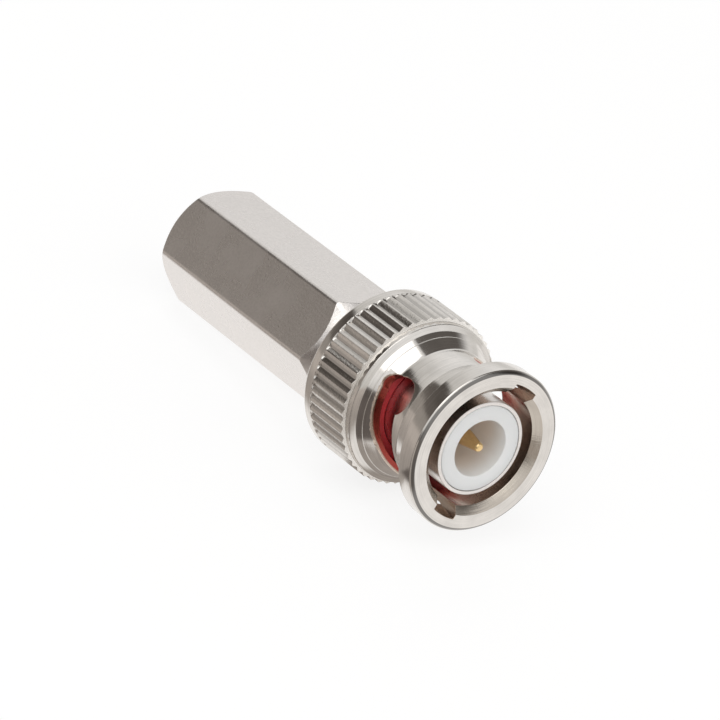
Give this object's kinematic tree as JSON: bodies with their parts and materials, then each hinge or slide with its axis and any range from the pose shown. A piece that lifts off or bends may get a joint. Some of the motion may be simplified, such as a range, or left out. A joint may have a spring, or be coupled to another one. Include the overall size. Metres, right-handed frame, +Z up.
{
  "type": "male bnc plug",
  "caption": "Coaxial cable plug with a bayonet coupling ring, a knurled grip, a centre pin and a hexagonal body that twists onto the cable.",
  "frame": {"origin": "centre of the footprint on the surface that the plug lies on", "axes": "+X towards the plug's front end, with the plug's own axis rising 5.9 degrees from +X towards +Z; +Z up"},
  "size_m": [0.0398, 0.0144, 0.0155],
  "materials": {
    "bright_nickel": "turned, bright nickel plate",
    "satin_nickel": "drawn bar, satin nickel plate",
    "spring_steel": "stamped spring steel",
    "gold": "gold plate",
    "red_silicone": "moulded silicone",
    "white_plastic": "white, slightly waxy",
    "natural_plastic": "natural, moulded"
  },
  "bodies": {
    "plug": {"plug_body": "satin_nickel", "front_insulator": "white_plastic", "rear_insulator": "natural_plastic", "centre_pin": "gold", "face_gasket": "red_silicone", "snap_ring": "spring_steel", "front_washer": "spring_steel", "wave_washer_front": "spring_steel"},
    "spring_middle": {"middle_washer": "spring_steel"},
    "ring_stage": {"thrust_washer": "spring_steel", "wave_washer_rear": "spring_steel"},
    "ring": {"coupling_ring": "bright_nickel"}
  },
  "joints": [
    {"name": "ring_pull", "type": "slide", "parent": "plug", "child": "ring_stage", "axis": [0.9947, 0, 0.103], "range_m": [0, 0.001], "stiffness_N_per_m": 4000, "springref_m": -0.0005, "deforming": ["wave_washer_front", "wave_washer_rear"]},
    {"name": "ring_turn", "type": "hinge", "parent": "ring_stage", "child": "ring", "pos_m": [0.01919, 0, 0.00866], "axis": [0.9947, 0, 0.103], "continuous": true},
    {"name": "middle_washer_travel", "type": "slide", "parent": "plug", "child": "spring_middle", "axis": [0.9947, 0, 0.103], "range_m": [0, 0.0005]}
  ],
  "couplings": [
    {"joint": "middle_washer_travel", "follows": "ring_pull", "ratio": 0.5}
  ]
}
